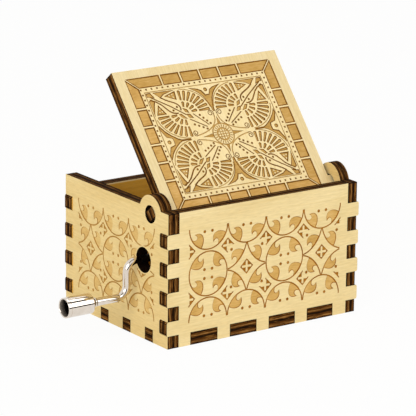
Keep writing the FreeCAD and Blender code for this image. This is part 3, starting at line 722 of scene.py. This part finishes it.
# ---------------------------------------------------------------- the knob
# A sleeve spun from steel tube and nickel plated, open at its outer end, with
# a rolled lip; it turns freely on the wire's end, behind the swaged head.
near, web, far = -47.7, -48.4, -56.1
hole, bore = 1.15, 2.38
knob = bmesh.new()
turned(knob, [complex(web, hole), complex(near, hole)]
       # the rounded shoulder, the groove behind the lip, and the lip
       + arc(complex(near - 0.45, 2.35), 0.45, 0, 90, 6)
       + arc(complex(far + 0.9, 2.8), 0.09, 0, -180, 4)
       + arc(complex(far + 0.2, 2.6), 0.2, 90, 180, 4)
       + arc(complex(far + 0.2, 2.58), 0.2, 180, 270, 4)
       + [complex(web, bore)], 64)
bmesh.ops.remove_doubles(knob, verts=knob.verts, dist=weld * mm)
bmesh.ops.recalc_face_normals(knob, faces=knob.faces)
for face in knob.faces:
    x, reach = about_spindle(face)
    face.material_index = int(x < web + 0.01 and reach < bore + 0.02)


# Dull steel inside the sleeve, painted pale at its mouth and darker deeper in, black within
# 2 mm: painted shade for the dark inside of the sleeve.
def shaded_bore():
    """Steel painted darker within 2 mm of the sleeve's mouth, as painted shade."""
    made, tree = material("painted_shade_steel_bore")
    place = add(tree, "TexCoord").outputs["Object"]
    along = add(tree, "SeparateXYZ", {}, {"Vector": place}).outputs["X"]
    depth = add(tree, "MapRange", {"From Min": far * mm, "From Max": (far + 2.0) * mm},
                {"Value": along})
    tone = add(tree, "ValToRGB",
               {"stops": [(0.0, "#E4DACC"), (0.45, "#A0968A"), (0.9, "#1A1613")]},
               {"Fac": depth.outputs[0]})
    stain = add(tree, "TexNoise", {"Scale": 1.2 / mm, "Detail": 2.0}, {"Vector": place})
    gloss = add(tree, "MapRange", {"To Min": 0.45, "To Max": 0.65},
                {"Value": stain.outputs["Fac"]})
    shader = add(tree, "BsdfPrincipled", {"Metallic": 1.0},
                 {"Base Color": tone.outputs[0], "Roughness": gloss.outputs[0]})
    add(tree, "OutputMaterial", {}, {"Surface": shader.outputs[0]})
    return made


finished(knob, "crank_sleeve", "knob", "crank_knob", [nickel, shaded_bore()])

# ----------------------------------------------------------------- the lid
# A board of the same plywood whose two rectangular tenons turn in the side walls'
# round ears.  A brick border, rows of dots and fans round a medallion are engraved.
tilt = radians(50)
border_hub, field_hub = -0.12 + 18.95j, -0.4 + 19.05j
border_u, border_v = 24.3, 20.45


def box_round(hub, half_u, half_v):
    """The corners of a rectangle about a place."""
    return [hub + complex(a * half_u, b * half_v)
            for a, b in ((1, 1), (-1, 1), (-1, -1), (1, -1))]


def brick_border(art):
    """Six bricks on each side between mitred corners, and the dots and lines inside them."""
    width, gap = 3.0, 0.4
    patch(art, box_round(border_hub, border_u, border_v), 0, bare)
    for turn in (1, -1):
        for pitch, half, edge, upright in ((6.5, border_u, border_v, 1),
                                           (5.53, border_v, border_u, 1j)):
            for i in range(-3, 3):
                outer = [i * pitch + gap, (i + 1) * pitch - gap]
                inside = list(outer)
                if i == -3:
                    outer[0], inside[0] = -half + gap, -half + width + gap
                if i == 2:
                    outer[1], inside[1] = half - gap, half - width - gap
                shape = [complex(outer[0], edge), complex(outer[1], edge),
                         complex(inside[1], edge - width), complex(inside[0], edge - width)]
                patch(art, [border_hub + turn * p * upright for p in shape], 0.38)
    for count, pitch, across, up in ((24, 1.79, 1, 16.65j), (20, 1.585, 1j, 20.5)):
        for i in range(count):
            for side in (1, -1):
                place = across * (i - (count - 1) / 2) * pitch + side * up
                place += (border_hub + field_hub) / 2
                patch(art, [place + 0.27 * (1 + 1j) * 1j ** k for k in range(4)], 0, charred)
    line(art, box_round(field_hub, 19.6, 15.7), 0.26, closed=True, kind=scorched)


def fan_quarter(art, right, up):
    """A quarter of the field: two fans on a corner spear, and its share of the star."""
    drawn_hub, squash = 31.75 + 19.0j, 0.83

    def put(*places):
        steps = [p - drawn_hub for p in places]
        return [field_hub + complex(right * p.real, up * p.imag) for p in steps]

    # two fans, squashed to the field's shape, each of two rings of dashes and a double arc
    for hub, first, way, size in ((41.3 + 26.9j, 177, -1, 1.0), (41.5 + 27.0j, -87, 1, 1.04)):
        for count, spread, close, distant, thick in ((8, 82, 5.0, 8.25, 0.7),
                                                     (4, 72, 2.5, 4.05, 0.66)):
            for k in range(count):
                angle = radians(first + way * (spread * k / (count - 1) + (90 - spread) / 2 - 4))
                root, tip = (size * complex(r * cos(angle), squash * r * sin(angle))
                             for r in (close, distant))
                outward = (tip - root) / abs(tip - root)
                side = 1j * outward * thick / 2
                dash = [root - 0.5 * side, tip - side, tip + outward * 0.2, tip + side,
                        root + 0.5 * side]
                patch(art, put(*[hub + p for p in dash]), 0.24)
        curve = [size * complex(p.real, squash * p.imag)
                 for p in arc(0, 9.0, first + way * 3, first + way * 80, 16)]
        line(art, put(*[hub + p for p in curve]), 0.26, kind=scorched)
    # the hollows between two fans and the frame, each with a notch for its dot
    for foot, half in (
            (31.75 + 26.2j, bow(31.95 + 26.2j, 32.2 + 30.4j, 33.9 + 32.7j, 36.9 + 34.2j)
             + [34.3 + 33.55j, 33.15 + 32.9j, 32.35 + 31.4j, 31.75 + 31.55j]),
            (42.6 + 19.0j,
             [42.6 + 19.1j, 45.6 + 19.15j, 46.6 + 19.6j, 48.0 + 20.6j, 48.9 + 21.35j,
              50.0 + 22.5j, 51.05 + 24.2j, 51.1 + 22.9j, 50.0 + 20.6j, 48.3 + 20.1j,
              48.15 + 19.0j])):
        patch(art, put(foot, *half), 0)
        line(art, put(*half), 0.28)
    # slivers and leaves at the frame's corner
    for corners in ((41.9 + 34.3j, 45.6 + 33.5j, 47.0 + 32.6j, 48.7 + 34.3j),
                    (50.95 + 27.2j, 50.9 + 31.9j, 50.1 + 32.3j, 49.3 + 31.6j, 50.0 + 30.2j),
                    (48.9 + 32.7j, 50.0 + 33.2j, 51.0 + 33.3j, 51.0 + 34.3j, 49.7 + 34.3j)):
        patch(art, put(*corners), 0.28)
    for corners, inside in (((41.9 + 33.8j, 45.4 + 32.8j, 42.2 + 31.4j),
                             (43.0 + 33.0j, 44.0 + 32.8j, 42.9 + 32.2j)),
                            ((47.2 + 27.5j, 48.7 + 30.2j, 50.0 + 27.5j),
                             (48.2 + 28.3j, 49.0 + 28.2j, 48.7 + 29.2j))):
        patch(art, put(*corners), 0.3)
        for p in inside:
            dot(art, *put(p), 0.24, kept)
    # the spear from the corner, with its bud where the fans meet
    upper = bow(44.5 + 31.0j, 42.9 + 30.3j, 41.5 + 29.6j, 42.1 + 27.9j, 8)
    lower = bow(47.6 + 30.4j, 46.2 + 28.8j, 45.6 + 27.0j, 43.2 + 27.2j, 8)
    line(art, put(47.2 + 32.7j, 45.8 + 31.7j, *upper), 0.42)
    line(art, put(50.6 + 32.3j, 48.9 + 31.5j, *lower), 0.42)
    line(art, put(41.0 + 26.4j, 45.0 + 29.6j, 50.2 + 33.1j), 0.36)
    for p in (43.0 + 29.1j, 44.5 + 28.2j):
        dot(art, *put(p), 0.36)
    for corners in ((39.1 + 25.2j, 39.8 + 26.4j, 40.9 + 26.5j, 40.3 + 25.4j),
                    (41.1 + 25.2j, 42.5 + 26.8j, 43.2 + 26.7j, 42.4 + 25.5j),
                    (39.9 + 26.9j, 40.2 + 27.9j, 41.4 + 28.5j, 40.9 + 27.3j)):
        patch(art, put(*corners))
    for a, b in ((38.8 + 26.4j, 35.0 + 22.4j), (40.4 + 24.9j, 35.8 + 21.9j)):
        line(art, put(a, b), 0.32)
    for p in (36.8 + 25.7j, 36.0 + 24.7j, 35.2 + 23.7j, 34.4 + 22.8j,
              39.6 + 23.1j, 38.4 + 22.5j, 37.2 + 21.9j, 36.1 + 21.3j):
        dot(art, *put(p), 0.36)
    # the star's hollow side, the kites to its points and the paired spirals
    hollow = bow(32.35 + 25.2j, 32.2 + 22.4j, 35.0 + 20.4j, 39.75 + 19.7j)
    line(art, put(*hollow), 0.32, kind=scorched)
    patch(art, put(34.9 + 19.0j, 34.9 + 19.6j, 38.4 + 19.02j), 0.12)
    patch(art, put(31.75 + 22.2j, 31.78 + 24.6j, 32.3 + 22.2j), 0.12)
    for hub, radius, begin, way in ((33.2 + 25.8j, 1.0, 215, -1), (40.3 + 20.5j, 0.95, 235, 1)):
        curl = [hub + radius * (1 - 0.72 * k / 22) * exp(1j * radians(begin + way * 24 * k))
                for k in range(23)]
        line(art, put(*curl), 0.25)
    for p in (31.75 + 33.1j, 49.8 + 19.0j):
        patch(art, arc(*put(p), 0.5, 0, 324, 9), 0.22)


def medallion(art):
    """A ring of short rays round a field of crossed lines."""
    for radius, steps, stroke in ((3.3, 40, 0.4), (1.85, 32, 0.5)):
        line(art, arc(field_hub, radius, 0, 360, steps)[:-1], stroke, closed=True, kind=scorched)
    for k in range(22):
        ray = exp(2j * pi * k / 22)
        line(art, [field_hub + 2.2 * ray, field_hub + 2.95 * ray], 0.32, kind=scorched)
    for k in range(-1, 2):
        aside = 0.78 * k
        reach = (1.7 ** 2 - aside ** 2) ** 0.5
        for way in (1, 1j):
            line(art, [field_hub + way * complex(aside, end) for end in (-reach, reach)], 0.26,
                 kind=scorched)


lid_art = bmesh.new()
brick_border(lid_art)
for right in (1, -1):
    for up in (1, -1):
        fan_quarter(lid_art, right, up)
medallion(lid_art)

# Between the engraved cells the veneer stayed clean and a little paler.  The bricks at the
# left and below are painted in a lighter burnt tone: painted light on the lid's lower and left
# part.
pale = ("#D4BA80", "#DEC792", "#E3CE9C", "#E8D6AA"), ("#D8C088", "#E0CB97", "#E5D2A3")
clean = ("#DFC486", "#E9D199", "#EED8A3", "#F3E0B1"), ("#E3CA8E", "#EBD59E", "#F0DCAA")
clean_field, painted_lit_brick = 6, 7
lid_finishes = [
    birch_veneer("pale_birch_veneer", pi / 2, *pale), wall_finishes[cut_edge],
    engraved_wood("scorched_lid_birch", "#AE8441", "#BF9650", "#CCA564"),
    engraved_wood("deeply_charred_birch", "#613A09", "#7C5114", "#966623"),
    birch_veneer("inner_birch_veneer", pi / 2, *pale), wall_finishes[soot_and_shade],
    birch_veneer("clean_birch_veneer", pi / 2, *clean),
    engraved_wood("painted_lit_scorched_birch", "#BB904C", "#CBA15B", "#D8B06F")]

# The lid is cut 0.35 mm wide at its left edge and 0.12 mm at its right one.
lid_half, wide_left, wide_right = 27.4, -0.35, 0.12
lid_up = (0, cos(tilt), sin(tilt))
lid_origin = (0, hinge_y - ply / 2 * sin(tilt), hinge_z + ply / 2 * cos(tilt))
lid_board = board(
    "lid_board", "lid", "lid", lid_origin, (1, 0, 0), lid_up, lid_finishes, lid_art,
    trim=lambda u, v, w: ((wide_right if u > 0 else wide_left)
                          if abs(abs(u) - lid_half) < 0.05 else 0, 0, 0))
left_bricks, mitre_slant, lower_bricks = -21.2, 41.6, -17.3
for face in lid_board.data.polygons:
    spot = face.center / mm - Vector(lid_origin)
    u, v = spot.x - border_hub.real, spot.dot(Vector(lid_up)) - border_hub.imag
    if face.material_index == bare and abs(u) < border_u and abs(v) < border_v:
        face.material_index = clean_field
    # the lower and left bricks take the lighter burnt tone: painted light
    elif face.material_index == scorched and (
            u < left_bricks and v < u + mitre_slant or v < lower_bricks):
        face.material_index = painted_lit_brick


# --------------------------------------------------- the studio and the camera
# The box stands on a pale floor under a broad soft light from the right and
# front, with the room's even light round it.
def seen_directly(tree, *kinds):
    """1 for the named rays, so that gloss mirrors the studio as bright as it is seen."""
    path = add(tree, "LightPath").outputs
    either = path[kinds[0]]
    for kind in kinds[1:]:
        larger = add(tree, "Math", {"operation": "MAXIMUM"}, {0: either, 1: path[kind]})
        either = larger.outputs[0]
    return either


world = bpy.data.worlds.new("pale_room")
bpy.context.scene.world = world
world.use_nodes = True
room = world.node_tree
room.nodes.clear()
straight = seen_directly(room, "Is Camera Ray", "Is Glossy Ray", "Is Transmission Ray")
glow = add(room, "Background", {"Color": hue("#FFFCF6"), "Strength": 0.62})
backdrop = add(room, "Background", {"Color": hue("#FDFDFD"), "Strength": 1.0})
choice = add(room, "MixShader", {}, {0: straight, 1: glow.outputs[0], 2: backdrop.outputs[0]})
add(room, "OutputWorld", {}, {"Surface": choice.outputs[0]})


def flat_sheet(name, finish, half_side, place=Matrix()):
    """A square sheet of the studio, laid flat and then put in its place."""
    bm = bmesh.new()
    bmesh.ops.create_grid(bm, x_segments=1, y_segments=1, size=half_side)
    bm.transform(place)
    mesh = bpy.data.meshes.new(name)
    bm.to_mesh(mesh)
    bm.free()
    mesh.materials.append(finish)
    return placed(name, mesh)


# White studio paper: matt and even, bright but for the soft shadow on it.
paper, tree = material("white_studio_paper")
straight = seen_directly(tree, "Is Camera Ray", "Is Glossy Ray")
share = add(tree, "Math", {"operation": "MULTIPLY", 1: 0.94}, {0: straight})
matt = add(tree, "BsdfDiffuse", {"Color": hue("#F2F1EE")})
lit = add(tree, "Emission", {"Color": hue("#FFFFFF"), "Strength": 1.0})
choice = add(tree, "MixShader", {}, {0: share.outputs[0], 1: matt.outputs[0], 2: lit.outputs[0]})
add(tree, "OutputMaterial", {}, {"Surface": choice.outputs[0]})
floor = flat_sheet("floor", paper, 3.0)


def soft_light(name, place, size, power):
    """A round lamp of a size in metres, aimed at the middle of the box."""
    lamp = bpy.data.lights.new(name, "AREA")
    lamp.shape = "DISK"
    lamp.size = size
    lamp.energy = power
    made = placed(name, lamp)
    made.location = place
    aim = Vector((0, 0, 0.02)) - Vector(place)
    made.rotation_euler = aim.to_track_quat("-Z", "Y").to_euler()
    return made


soft_light("front_key", (1.12, -1.80, 1.34), 1.9, 18.0)
soft_light("left_fill", (-1.00, -0.64, 0.62), 0.8, 7.6)
overhead = soft_light("overhead_glow", (1.24, 0.24, 2.06), 1.7, 9.2)
overhead.visible_diffuse = False

# Two narrow cards beside and below the lamps draw the thin dark lines in the plated
# metal, and only gloss sees them.  Black felt: a napped cloth that gives back almost
# no light.
felt, tree = material("black_felt")
nap = add(tree, "BsdfDiffuse", {"Color": hue("#0B0B0B")})
add(tree, "OutputMaterial", {}, {"Surface": nap.outputs[0]})
for lift, width in ((114.5, 0.22), (173.5, 0.16)):
    place = (Matrix.Translation((0.5, shaft_y * mm, 0.012))
             @ Matrix.Rotation(radians(lift), 4, "X") @ Matrix.Translation((0, 0.7, 0))
             @ Matrix.Rotation(pi / 2, 4, "X") @ Matrix.Diagonal((2.0, width, 1.0, 1.0)))
    card = flat_sheet("black_card", felt, 0.5, place)
    card.visible_camera = card.visible_diffuse = False
    card.visible_shadow = card.visible_transmission = False

camera_data = bpy.data.cameras.new("camera")
camera_data.lens = 251.84
camera = placed("camera", camera_data)
bearing, looking_down, roll = -35.22, 15.44, 0.62
camera.matrix_world = (Matrix.Translation((-0.453449, -0.640684, 0.245671))
                       @ Matrix.Rotation(radians(bearing), 4, "Z")
                       @ Matrix.Rotation(radians(90 - looking_down), 4, "X")
                       @ Matrix.Rotation(radians(roll), 4, "Z"))
bpy.context.scene.camera = camera
bpy.context.scene.view_settings.view_transform = "Standard"
